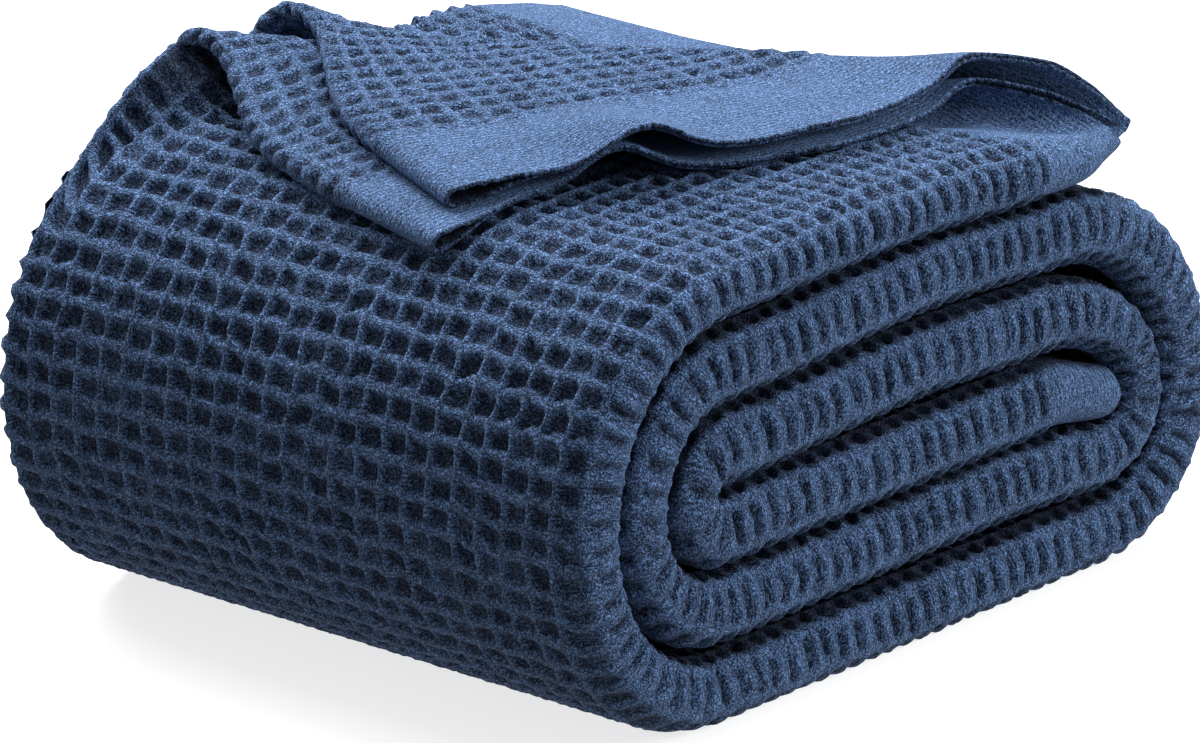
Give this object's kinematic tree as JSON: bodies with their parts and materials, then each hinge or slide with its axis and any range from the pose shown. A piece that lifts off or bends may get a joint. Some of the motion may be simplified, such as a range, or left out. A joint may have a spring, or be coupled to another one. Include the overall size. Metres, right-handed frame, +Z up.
{
  "type": "waffle weave blanket",
  "caption": "Cotton waffle weave blanket, folded lengthwise into a thick strip and rolled flat, with one corner of its outer end turned back over the top.",
  "frame": {"origin": "centre of the bounding box at the surface the blanket rests on", "axes": "+X along the turns of the roll, towards its outer end; +Y across the strip, from its single thick fold to its side of thin folds; +Z up"},
  "size_m": [0.3652, 0.2816, 0.2048],
  "materials": {
    "cotton_waffle": "matte"
  },
  "bodies": {
    "root": {"blanket": "cotton_waffle"}
  },
  "joints": []
}
